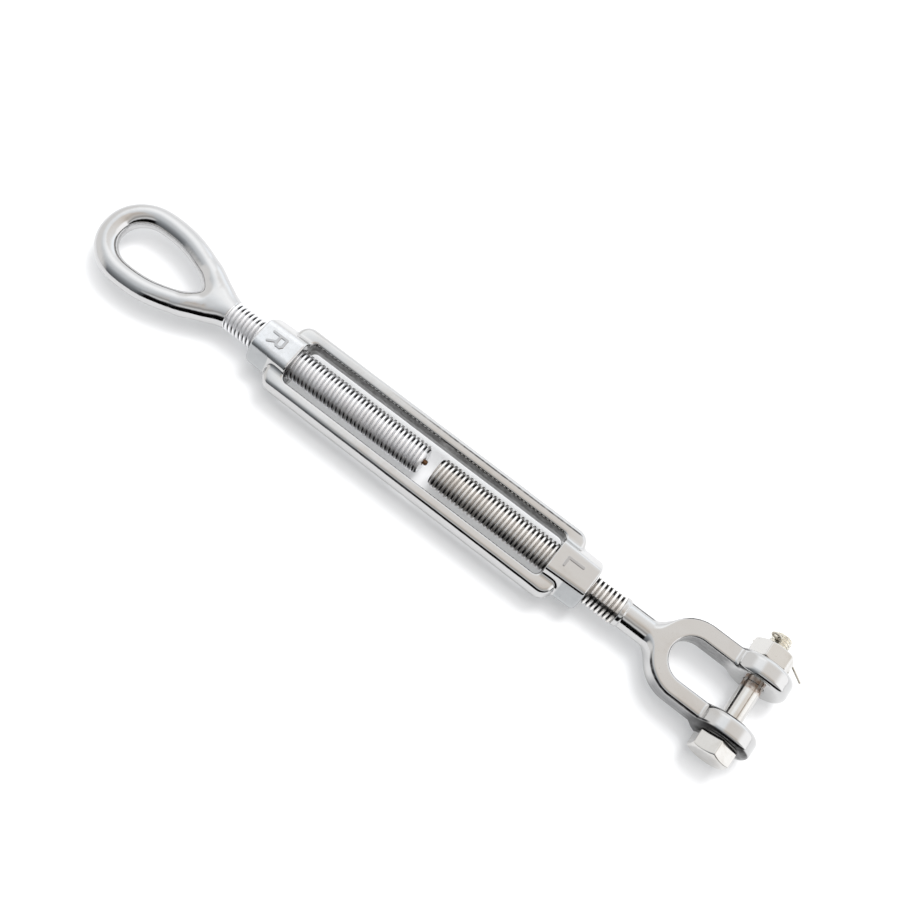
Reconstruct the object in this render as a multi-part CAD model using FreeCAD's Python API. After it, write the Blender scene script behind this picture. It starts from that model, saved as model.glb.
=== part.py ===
import FreeCAD, Part
import os
import math

os.makedirs("parts", exist_ok=True)

V = FreeCAD.Vector

# ---------------------------------------------------------------- dimensions, mm
# Frame: origin at the centre of the body on the thread axis, +X towards the jaw,
# +Y along the jaw bolt towards its nut, +Z square to the flat of the turnbuckle.

thread_d = 15.6            # rod over its thread
thread_pitch = 2.309       # 11 threads to the inch
rod_running_gap = 0.05     # radial, rod in hub

opening = 152.4            # between the hubs' inner faces, the take-up
hub_len = 21.9
hub_half_h = 11.0          # axis to the top flat
hub_flat_in = 7.6          # half width of the flat, inner end
hub_flat_out = 7.1         # half width of the flat, outer end
hub_vertex_in = 14.6       # half width at mid height, inner end
hub_vertex_out = 14.0
hub_corner_r = 4.5         # plan rounding of the outer end
hub_edge_r = 0.8
countersink = 0.9

rail_out = 18.6            # axis to the rail's outer side
rail_in = 12.0             # axis to the slot's wall
rail_half_h = 6.6
rail_tip_x = 85.6          # the rails lap over the hubs to here
rail_tip_r = 6.5
rail_round = 2.3
slot_corner_r = 3.6
slot_edge_r = 1.0

eye_rod_end_x = 1.0        # inner end of the eye's rod as it lies
jaw_rod_end_x = 8.5        # inner end of the jaw's rod as it lies
rod_chamfer = 1.4
centre_hole_d = 4.2
centre_hole_depth = 2.6
nib_d = 2.6                # small stub left on the middle of the eye's rod end
nib_l = 2.1

eye_thread_end_x = -117.0
neck_r = 6.8
eye_bar_r = 5.9
eye_line = [(-192.3, 0.0), (-191.7, 4.9), (-189.3, 9.8), (-185.0, 13.9), (-179.0, 16.7),
            (-172.0, 17.6), (-165.0, 17.5), (-158.0, 16.7), (-150.5, 14.9), (-144.0, 12.7),
            (-136.5, 9.6), (-131.5, 7.4), (-127.0, 5.2), (-123.0, 3.2), (-117.5, 1.0)]
eye_web = [(-116.5, 6.8, 6.8), (-121.0, 7.7, 6.7), (-126.0, 9.2, 6.4), (-131.0, 9.4, 6.1),
           (-135.5, 6.0, 5.0)]

eye_crotch_x = -142.3      # centre of the bend that closes the teardrop
eye_crotch_r = 11.7
eye_crotch_bar_r = 5.85

jaw_thread_end_x = 115.2
collar_r = 7.5
collar_end_x = 117.2
fork_x = 154.0             # centre of the fork's bend
fork_in_r = 10.8
fork_out_r = 19.9
fork_half_h = 7.4
fork_edge_out = 1.5
fork_edge_in = 1.2
neck_fillet = 3.0

pin_x = 183.0
ear_r = 15.2
ear_in = 10.3
ear_out = 21.3
ear_round = 3.3
bolt_d = 10.0
pin_gap = 0.08             # radial, bolt in ear
face_gap = 0.08            # axial, head and nut to ear

head_af = 18.5
head_h = 8.5
nut_af = 18.5
nut_h = 9.5
nut_turn = 26.0            # degrees from vertex up
bolt_end_y = 38.2
bolt_tip_chamfer = 1.1

cotter_d = 2.4
cotter_hole_d = 2.8
cotter_y = 34.1
cotter_turn = 124.0        # direction of the cotter's eye, degrees from +X towards +Z
cotter_leg = [(188.0, 34.0, -6.6), (192.0, 33.6, -8.4), (197.2, 31.4, -9.6), (202.4, 28.4, -10.2)]
cotter_leg_short = [(181.6, 34.0, -8.0), (178.4, 33.4, -10.0), (175.0, 32.0, -11.2)]
cotter_eye_r = 2.1


# ---------------------------------------------------------------- helpers
def box(x0, x1, y0, y1, z0, z1):
    return Part.makeBox(x1 - x0, y1 - y0, z1 - z0, V(x0, y0, z0))


def rod_x(r, x0, x1):
    return Part.makeCylinder(r, x1 - x0, V(x0, 0, 0), V(1, 0, 0))


def rod_y(r, y0, y1, x=0.0, z=0.0):
    return Part.makeCylinder(r, y1 - y0, V(x, y0, z), V(0, 1, 0))


def fuse(shapes):
    out = shapes[0].multiFuse(shapes[1:]) if len(shapes) > 1 else shapes[0]
    try:
        out = out.removeSplitter()
    except Exception:
        pass
    return out


def fillet_where(shape, radius, test):
    edges = [e for e in shape.Edges if test(e)]
    if not edges:
        return shape
    for r in (radius, radius * 0.85, radius * 0.6):
        try:
            out = shape.makeFillet(r, edges)
            if out.isValid() and abs(out.Volume) > 0:
                return out
        except Exception:
            pass
    return shape


def hexagon(r, turn_deg, y, x):
    """Wire of a hexagon square to Y, vertex radius r, first vertex turned from +X towards +Z."""
    pts = []
    for k in range(6):
        a = math.radians(turn_deg + 60.0 * k)
        pts.append(V(x + r * math.cos(a), y, r * math.sin(a)))
    return Part.makePolygon(pts + [pts[0]])


def hex_prism(af, turn_deg, y0, y1, x, round_y0, round_y1):
    """Hex prism along Y with the usual 30 degree corner chamfer on the chosen ends."""
    r = af / math.sqrt(3.0)
    body = Part.Face(hexagon(r, turn_deg, y0, x)).extrude(V(0, y1 - y0, 0))
    big = r + 1.0
    drop = (big - 0.475 * af) * math.tan(math.radians(30.0))
    prof = []
    a0 = y0 + (drop if round_y0 else 0.0)
    a1 = y1 - (drop if round_y1 else 0.0)
    prof.append(V(x, y0, 0))
    prof.append(V(x + (0.475 * af if round_y0 else big), y0, 0))
    if round_y0:
        prof.append(V(x + big, a0, 0))
    if round_y1:
        prof.append(V(x + big, a1, 0))
    prof.append(V(x + (0.475 * af if round_y1 else big), y1, 0))
    prof.append(V(x, y1, 0))
    prof.append(prof[0])
    turned = Part.Face(Part.makePolygon(prof)).revolve(V(x, 0, 0), V(0, 1, 0), 360)
    return body.common(turned)


def rounded_slab(x0, x1, half_w, r, half_h):
    """Plate centred on Y and Z, its four plan corners rounded."""
    slab = box(x0, x1, -half_w, half_w, -half_h, half_h)
    edges = [e for e in slab.Edges
             if abs(e.tangentAt(e.FirstParameter).z) > 0.99]
    return slab.makeFillet(r, edges)


# ---------------------------------------------------------------- body
def hub(side):
    """Elongated hexagonal hub, on the +X side for side = 1."""
    xi = side * opening / 2.0
    xo = side * (opening / 2.0 + hub_len)

    def section(x, flat, vertex):
        h = hub_half_h
        pts = [V(x, flat, h), V(x, vertex, 0), V(x, flat, -h), V(x, -flat, -h), V(x, -vertex, 0),
               V(x, -flat, h)]
        return Part.makePolygon(pts + [pts[0]])

    solid = Part.makeLoft([section(xi, hub_flat_in, hub_vertex_in),
                           section(xo, hub_flat_out, hub_vertex_out)], True, True)
    plan = box(min(xi, xo) - 6.0 * (side > 0), max(xi, xo) + 6.0 * (side < 0),
               -hub_vertex_in - 0.5, hub_vertex_in + 0.5, -hub_half_h - 1, hub_half_h + 1)
    corner = [e for e in plan.Edges
              if abs(e.tangentAt(e.FirstParameter).z) > 0.99
              and abs(e.CenterOfMass.x - xo) < 0.01]
    plan = plan.makeFillet(hub_corner_r, corner)
    solid = solid.common(plan)
    solid = fillet_where(solid, hub_edge_r, lambda e: abs(e.CenterOfMass.x - xi) > 0.3)
    return solid


def letter_strokes(side):
    """Raised mark of the thread's hand on the flats: strokes as small bars, x along the hub."""
    z0 = hub_half_h - 0.4
    z1 = hub_half_h + 0.28
    w = 0.95
    bars = []

    def bar(p, q):
        dx, dy = q[0] - p[0], q[1] - p[1]
        n = math.hypot(dx, dy)
        b = Part.makeBox(n + w, w, z1 - z0, V(-w / 2, -w / 2, z0))
        b.rotate(V(0, 0, 0), V(0, 0, 1), math.degrees(math.atan2(dy, dx)))
        b.translate(V(p[0], p[1], 0))
        bars.append(b)

    if side < 0:
        # R: letter up is +X, letter right is -Y
        bar((-92.0, 3.0), (-84.2, 3.0))
        bar((-84.2, 3.0), (-84.2, -1.0))
        bar((-84.2, -1.0), (-85.1, -2.0))
        bar((-85.1, -2.0), (-87.0, -2.0))
        bar((-87.0, -2.0), (-87.9, -1.0))
        bar((-87.9, -1.0), (-87.9, 3.0))
        bar((-87.9, -0.2), (-92.0, -2.6))
    else:
        bar((82.4, 2.4), (90.4, 2.4))
        bar((82.4, 2.4), (82.4, -1.9))
    out = fuse(bars)
    return out


def make_body():
    plate = rounded_slab(-rail_tip_x, rail_tip_x, rail_out, rail_tip_r, rail_half_h)
    plate = fillet_where(plate, rail_round,
                         lambda e: abs(abs(e.CenterOfMass.z) - rail_half_h) < 0.01)
    slot = rounded_slab(-opening / 2.0, opening / 2.0, rail_in, slot_corner_r, rail_half_h + 1)
    rails = plate.cut(slot)
    rails = fillet_where(rails, slot_edge_r,
                         lambda e: abs(abs(e.CenterOfMass.z) - rail_half_h) < 0.01
                         and abs(e.CenterOfMass.y) < rail_in + 0.3)
    solid = fuse([rails, hub(-1), hub(1), letter_strokes(-1), letter_strokes(1)])
    bore_r = thread_d / 2.0 + rod_running_gap
    for side in (-1, 1):
        a, b = sorted((side * (opening / 2.0 - 0.5), side * (opening / 2.0 + hub_len + 0.5)))
        solid = solid.cut(rod_x(bore_r, a, b))
        for x, d in ((opening / 2.0, 1), (opening / 2.0 + hub_len, -1)):
            cone = Part.makeCone(bore_r + countersink + 0.3, bore_r, countersink + 0.3,
                                 V(side * (x - d * 0.3), 0, 0), V(side * d, 0, 0))
            solid = solid.cut(cone)
    return solid


# ---------------------------------------------------------------- ends
def chamfered_rod(r, x_free, x_root, c, hole=True):
    """Round bar along X, chamfered at its free end, with a centre hole or a nib there."""
    s = 1.0 if x_root > x_free else -1.0
    bar = Part.makeCylinder(r, abs(x_root - x_free) - c, V(x_free + s * c, 0, 0), V(s, 0, 0))
    tip = Part.makeCone(r - c, r, c, V(x_free, 0, 0), V(s, 0, 0))
    rod = fuse([bar, tip])
    if not hole:
        nib = Part.makeCylinder(nib_d / 2.0, nib_l - 0.5 + 0.4, V(x_free + s * 0.4, 0, 0), V(-s, 0, 0))
        end = Part.makeCone(nib_d / 2.0, nib_d / 2.0 - 0.5, 0.5, V(x_free - s * (nib_l - 0.5), 0, 0), V(-s, 0, 0))
        return fuse([rod, nib, end])
    hr = centre_hole_d / 2.0
    cone = Part.makeCone(hr + 0.2, 0.3, centre_hole_depth + 0.2, V(x_free - s * 0.2, 0, 0), V(s, 0, 0))
    return rod.cut(cone)


def make_eye_end():
    rod = chamfered_rod(thread_d / 2.0, eye_rod_end_x, eye_thread_end_x + 1.0, rod_chamfer, False)
    runout = Part.makeCone(neck_r, thread_d / 2.0, 1.0, V(eye_thread_end_x, 0, 0), V(1, 0, 0))
    neck = rod_x(neck_r, eye_thread_end_x - 2.0, eye_thread_end_x + 0.5)
    upper = [V(x, y, 0) for x, y in reversed(eye_line)]
    lower = [V(x, -y, 0) for x, y in eye_line[1:]]
    curve = Part.BSplineCurve()
    curve.interpolate(upper + lower)
    path = Part.Wire([curve.toShape()])
    start = upper[0]
    tangent = curve.tangent(curve.FirstParameter)[0]
    ring = Part.Wire([Part.makeCircle(eye_bar_r, start, tangent)])
    tube = path.makePipeShell([ring], True, False)
    if tube.ShapeType != "Solid":
        tube = Part.Solid(tube)

    def ellipse(x, ry, rz):
        big, small = max(ry, rz) + 1e-4, min(ry, rz)
        e = Part.Ellipse(V(x, 0, 0), big, small)
        wire = Part.Wire([e.toShape()])
        wire.translate(V(-x, 0, 0))
        wire.rotate(V(0, 0, 0), V(0, 1, 0), 90)
        wire.rotate(V(0, 0, 0), V(1, 0, 0), 90 if ry >= rz else 0)
        wire.translate(V(x, 0, 0))
        return wire

    web = Part.makeLoft([ellipse(x, ry, rz) for x, ry, rz in eye_web], True, False)
    bend = Part.makeTorus(eye_crotch_r, eye_crotch_bar_r, V(eye_crotch_x, 0, 0), V(0, 0, 1), -180, 180, 180)
    bend.rotate(V(eye_crotch_x, 0, 0), V(0, 0, 1), -90)
    return fuse([rod, runout, neck, web, tube, bend])


def make_jaw_end():
    rod = chamfered_rod(thread_d / 2.0, jaw_rod_end_x, jaw_thread_end_x, rod_chamfer)
    collar = rod_x(collar_r, jaw_thread_end_x - 0.5, collar_end_x)
    collar_cone = Part.makeCone(collar_r, neck_r, 0.7, V(collar_end_x, 0, 0), V(1, 0, 0))
    neck = rod_x(neck_r, collar_end_x - 1.0, fork_x - fork_in_r - 3.0)

    h = fork_half_h
    outer = Part.makeCylinder(fork_out_r, 2 * h, V(fork_x, 0, -h))
    outer = outer.fuse(box(fork_x, pin_x + 2.0, -fork_out_r, fork_out_r, -h, h)).removeSplitter()
    outer = fillet_where(outer, fork_edge_out,
                         lambda e: abs(abs(e.CenterOfMass.z) - h) < 0.01
                         and e.CenterOfMass.x < pin_x + 1.0)
    inner = Part.makeCylinder(fork_in_r, 2 * h + 2, V(fork_x, 0, -h - 1))
    inner = inner.fuse(box(fork_x, pin_x + 6.0, -fork_in_r, fork_in_r, -h - 1, h + 1)).removeSplitter()
    fork = outer.cut(inner)
    fork = fillet_where(fork, fork_edge_in,
                        lambda e: abs(abs(e.CenterOfMass.z) - h) < 0.01
                        and abs(e.CenterOfMass.y) < fork_in_r + 0.2
                        and e.CenterOfMass.x < pin_x + 1.0)
    stem = fork.fuse(neck).removeSplitter()
    stem = fillet_where(stem, neck_fillet,
                        lambda e: e.CenterOfMass.x < fork_x - fork_out_r + 4.5
                        and e.BoundBox.XMax < fork_x - fork_out_r + 5.0
                        and e.BoundBox.XMin > fork_x - fork_out_r - 0.6
                        and e.BoundBox.YMax < neck_r + 0.3 and e.BoundBox.YMin > -neck_r - 0.3)
    parts = [stem, rod, collar, collar_cone]
    for s in (-1, 1):
        y0, y1 = sorted((s * ear_in, s * ear_out))
        ear = rod_y(ear_r, y0, y1, pin_x)
        ear = ear.makeFillet(ear_round, [e for e in ear.Edges if e.Closed and e.Length > 3])
        parts.append(ear)
    solid = fuse(parts)
    return solid.cut(rod_y(bolt_d / 2.0 + pin_gap, -ear_out - 2, ear_out + 2, pin_x))


# ---------------------------------------------------------------- bolt set
def cotter_axis():
    a = math.radians(cotter_turn)
    return V(math.cos(a), 0, math.sin(a))


def make_bolt():
    y_head = -ear_out - face_gap
    head = hex_prism(head_af, 90.0, y_head - head_h, y_head, pin_x, True, False)
    shank = rod_y(bolt_d / 2.0, y_head - 0.5, bolt_end_y - bolt_tip_chamfer, pin_x)
    tip = Part.makeCone(bolt_d / 2.0, bolt_d / 2.0 - bolt_tip_chamfer, bolt_tip_chamfer,
                        V(pin_x, bolt_end_y - bolt_tip_chamfer, 0), V(0, 1, 0))
    bolt = fuse([head, shank, tip])
    a = cotter_axis()
    hole = Part.makeCylinder(cotter_hole_d / 2.0, 2 * bolt_d,
                             V(pin_x, cotter_y, 0) - a * bolt_d, a)
    return bolt.cut(hole)


def make_nut():
    y0 = ear_out + face_gap
    nut = hex_prism(nut_af, 90.0 + nut_turn, y0, y0 + nut_h, pin_x, False, True)
    nut = nut.cut(rod_y(bolt_d / 2.0, y0 - 1, y0 + nut_h + 1, pin_x))
    lead = Part.makeCone(bolt_d / 2.0, bolt_d / 2.0 + 0.9, 0.9, V(pin_x, y0 + nut_h - 0.8, 0), V(0, 1, 0))
    return nut.cut(lead)


def make_cotter():
    """Split pin: two legs from one eye, side by side through the bolt, bent apart below it."""
    a = cotter_axis()
    side = V(0, 1, 0)                      # the split lies square to the bolt's axis
    cross = a.cross(side)
    o = V(pin_x, cotter_y, 0)
    r = cotter_d / 4.0                     # radius of each leg's wire
    top = bolt_d / 2.0 + 0.5
    low = -(bolt_d / 2.0 + 0.8)

    def at(u, v):
        return o + a * u + cross * v

    er = cotter_eye_r
    q = r * 1.02
    pts = [V(*p) for p in reversed(cotter_leg)]
    pts += [at(low + 1.0, -q), at(0, -q), at(top - 0.6, -q),
            at(top + er * 0.55, -er * 0.8), at(top + er * 1.5, -er * 0.95), at(top + er * 2.35, 0),
            at(top + er * 1.5, er * 0.95), at(top + er * 0.55, er * 0.8),
            at(top - 0.6, q), at(0, q), at(low + 1.0, q)]
    pts += [V(*p) for p in cotter_leg_short]
    curve = Part.BSplineCurve()
    curve.interpolate(pts)
    path = Part.Wire([curve.toShape()])
    t0 = curve.tangent(curve.FirstParameter)[0]
    ring = Part.Wire([Part.makeCircle(r, pts[0], t0)])
    wire = path.makePipeShell([ring], True, False)
    if wire.ShapeType != "Solid":
        wire = Part.Solid(wire)
    return wire


nodes = {
    "turnbuckle_body": make_body(),
    "eye_end": make_eye_end(),
    "jaw_end": make_jaw_end(),
    "jaw_bolt": make_bolt(),
    "jaw_nut": make_nut(),
    "cotter_pin": make_cotter(),
}

for name, shape in nodes.items():
    if len(shape.Solids) == 1:
        shape = shape.Solids[0]
    bb = shape.BoundBox
    print(name, "valid", shape.isValid(), "solids", len(shape.Solids), "volume", round(shape.Volume, 1),
          "x", round(bb.XMin, 2), round(bb.XMax, 2), "y", round(bb.YMin, 2), round(bb.YMax, 2),
          "z", round(bb.ZMin, 2), round(bb.ZMax, 2))
    shape.exportStep("parts/%s.step" % name)
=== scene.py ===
import math
import bpy
import numpy as np
from mathutils import Matrix, Vector


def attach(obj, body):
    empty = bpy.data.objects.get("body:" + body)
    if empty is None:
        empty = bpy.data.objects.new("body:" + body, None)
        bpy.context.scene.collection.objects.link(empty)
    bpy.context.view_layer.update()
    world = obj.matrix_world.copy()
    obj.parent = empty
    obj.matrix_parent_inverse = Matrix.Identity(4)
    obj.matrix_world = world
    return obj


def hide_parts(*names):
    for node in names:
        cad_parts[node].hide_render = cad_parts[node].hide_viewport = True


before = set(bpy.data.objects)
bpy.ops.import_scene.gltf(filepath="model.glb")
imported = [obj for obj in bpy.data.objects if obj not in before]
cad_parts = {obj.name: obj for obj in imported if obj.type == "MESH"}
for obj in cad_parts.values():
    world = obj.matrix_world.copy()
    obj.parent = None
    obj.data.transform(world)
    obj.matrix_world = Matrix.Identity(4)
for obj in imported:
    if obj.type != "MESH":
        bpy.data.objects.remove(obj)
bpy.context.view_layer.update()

# ------------------------------------------------------------------ sizes, mm
# Same frame as the CAD: +X along the thread axis to the jaw, +Y along the jaw bolt to its nut.
PITCH = 25.4 / 11.0
ROD_R = 7.8
ROOT_R = 6.42
MM = 0.001


# ------------------------------------------------------------------ signed distances
def smin(a, b, k):
    h = np.maximum(k - np.abs(a - b), 0.0) / np.maximum(k, 1e-6)
    return np.minimum(a, b) - h * h * k * 0.25


def smax(a, b, k):
    return -smin(-a, -b, k)


def box2(u, v, hu, hv, r):
    """Rounded rectangle in the plane."""
    a = np.abs(u) - hu + r
    b = np.abs(v) - hv + r
    return np.hypot(np.maximum(a, 0), np.maximum(b, 0)) + np.minimum(np.maximum(a, b), 0) - r


def slab(d, z, h, r):
    """Outline d pulled up to +-h in z, with its edges rounded by r."""
    a = d + r
    b = np.abs(z) - h + r
    return np.hypot(np.maximum(a, 0), np.maximum(b, 0)) + np.minimum(np.maximum(a, b), 0) - r


def step(x, lo, hi):
    t = np.clip((x - lo) / (hi - lo), 0, 1)
    return t * t * (3 - 2 * t)


def uneven(x, y, z, seed, size):
    """Slow swells a hammered and hand-polished surface keeps, as a sum of waves, -1 to 1."""
    rng = np.random.RandomState(seed)
    out = 0.0
    for _ in range(9):
        d = rng.normal(size=3)
        d /= np.linalg.norm(d)
        k = 2 * np.pi / (size * rng.uniform(0.7, 2.4))
        out = out + np.sin(k * (d[0] * x + d[1] * y + d[2] * z) + rng.uniform(0, 6.28))
    return out / 4.5


# ------------------------------------------------------------------ surface from a distance field
def nets(f, lo, hi, h):
    """Closed quad surface on f = 0, its points pulled onto the surface and its normals taken from f."""
    ax = [np.arange(lo[i], hi[i] + h, h) for i in range(3)]
    g = f(ax[0][:, None, None], ax[1][None, :, None], ax[2][None, None, :])
    g = np.broadcast_to(g, tuple(len(a) for a in ax)).astype(np.float32)
    s = g < 0
    n = [len(a) - 1 for a in ax]
    count = np.zeros(n, np.int8)
    for i in (0, 1):
        for j in (0, 1):
            for k in (0, 1):
                count += s[i:n[0] + i, j:n[1] + j, k:n[2] + k]
    cell = np.argwhere((count > 0) & (count < 8))
    index = np.full(n, -1, np.int32)
    index[cell[:, 0], cell[:, 1], cell[:, 2]] = np.arange(len(cell))
    total = np.zeros((len(cell), 3))
    hits = np.zeros(len(cell))
    corner = [(i, j, k) for i in (0, 1) for j in (0, 1) for k in (0, 1)]
    for a in range(8):
        for b in range(a + 1, 8):
            ca, cb = corner[a], corner[b]
            if sum(abs(p - q) for p, q in zip(ca, cb)) != 1:
                continue
            va = g[cell[:, 0] + ca[0], cell[:, 1] + ca[1], cell[:, 2] + ca[2]]
            vb = g[cell[:, 0] + cb[0], cell[:, 1] + cb[1], cell[:, 2] + cb[2]]
            cut = (va < 0) != (vb < 0)
            t = np.where(cut, va / np.where(cut, va - vb, 1), 0)
            p = np.array(ca)[None] + t[:, None] * (np.array(cb) - np.array(ca))[None]
            total += p * cut[:, None]
            hits += cut
    base = np.array([a[0] for a in ax])
    pts = base + (cell + total / hits[:, None]) * h
    e = h * 0.04

    def grad(p):
        x, y, z = p[:, 0], p[:, 1], p[:, 2]
        v = np.stack([f(x + e, y, z) - f(x - e, y, z), f(x, y + e, z) - f(x, y - e, z),
                      f(x, y, z + e) - f(x, y, z - e)], 1) / (2 * e)
        return v

    start = pts.copy()
    for _ in range(3):
        v = grad(pts)
        d = f(pts[:, 0], pts[:, 1], pts[:, 2])
        move = -d[:, None] * v / np.maximum((v * v).sum(1), 0.2)[:, None]
        long = np.linalg.norm(move, axis=1)
        move *= np.minimum(1, 0.4 * h / np.maximum(long, 1e-9))[:, None]
        pts = pts + move
    pts = start + np.clip(pts - start, -0.8 * h, 0.8 * h)
    nrm = grad(pts)
    nrm /= np.maximum(np.linalg.norm(nrm, axis=1), 1e-9)[:, None]
    quads = []
    for axis in range(3):
        a = [slice(None)] * 3
        b = [slice(None)] * 3
        a[axis] = slice(0, -1)
        b[axis] = slice(1, None)
        sa, sb = s[tuple(a)], s[tuple(b)]
        e1 = np.argwhere(sa != sb)
        u, w = (axis + 1) % 3, (axis + 2) % 3
        ok = (e1[:, u] > 0) & (e1[:, w] > 0) & (e1[:, u] < n[u]) & (e1[:, w] < n[w])
        e1 = e1[ok]
        inside = sa[e1[:, 0], e1[:, 1], e1[:, 2]]
        ring = []
        for du, dw in ((-1, -1), (0, -1), (0, 0), (-1, 0)):
            c = e1.copy()
            c[:, u] += du
            c[:, w] += dw
            ring.append(index[c[:, 0], c[:, 1], c[:, 2]])
        q = np.stack(ring, 1)
        q[~inside] = q[~inside][:, ::-1]
        quads.append(q)
    quads = np.concatenate(quads)
    quads = quads[(quads >= 0).all(1)]
    return pts, quads, nrm


def joined(*meshes):
    pts, quads, nrm, start = [], [], [], 0
    for p, q, m in meshes:
        pts.append(p)
        quads.append(q + start)
        nrm.append(m)
        start += len(p)
    return np.concatenate(pts), np.concatenate(quads), np.concatenate(nrm)


def turned(mesh, order, flip=False):
    """The same mesh with its axes taken in another order."""
    p, q, m = mesh
    return p[:, order], (q[:, ::-1] if flip else q), m[:, order]


def grid_quads(rows, cols, wrap):
    i = np.arange(rows - 1)[:, None]
    j = np.arange(cols if wrap else cols - 1)[None, :]
    k = (j + 1) % cols
    return np.stack([i * cols + j, (i + 1) * cols + j, (i + 1) * cols + k, i * cols + k], -1).reshape(-1, 4)


def lathe(profile, cols=96, wobble=0.0):
    """Turned surface about X from (x, r) points, outward to the left of the direction of travel in +x."""
    prof = np.array(profile, float)
    d = np.gradient(prof, axis=0)
    d /= np.maximum(np.linalg.norm(d, axis=1), 1e-9)[:, None]
    a = np.linspace(0, 2 * np.pi, cols, endpoint=False)
    x = np.repeat(prof[:, :1], cols, 1)
    r = np.repeat(prof[:, 1:], cols, 1)
    pts = np.stack([x, r * np.cos(a), r * np.sin(a)], -1).reshape(-1, 3)
    nx = np.repeat(-d[:, 1:], cols, 1)
    nr = np.repeat(d[:, :1], cols, 1)
    nrm = np.stack([nx, nr * np.cos(a), nr * np.sin(a)], -1).reshape(-1, 3)
    q = grid_quads(len(prof), cols, True)[:, ::-1]
    p = pts[q]
    size = np.linalg.norm(np.cross(p[:, 2] - p[:, 0], p[:, 3] - p[:, 1]), axis=1)
    return pts, q[size > 1e-8], nrm


def rounded_profile(points, radii, parts=4):
    """Polyline in (x, r) with its corners rounded."""
    out = [points[0]]
    for i in range(1, len(points) - 1):
        p0, p1, p2 = (np.array(points[j], float) for j in (i - 1, i, i + 1))
        a, b = p0 - p1, p2 - p1
        la, lb = np.linalg.norm(a), np.linalg.norm(b)
        c = min(radii[i], 0.45 * la, 0.45 * lb)
        if c <= 0:
            out.append(tuple(p1))
            continue
        s, e = p1 + a / la * c, p1 + b / lb * c
        for t in np.linspace(0, 1, parts + 1):
            out.append(tuple((1 - t) ** 2 * s + 2 * t * (1 - t) * p1 + t * t * e))
    out.append(points[-1])
    return out


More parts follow.
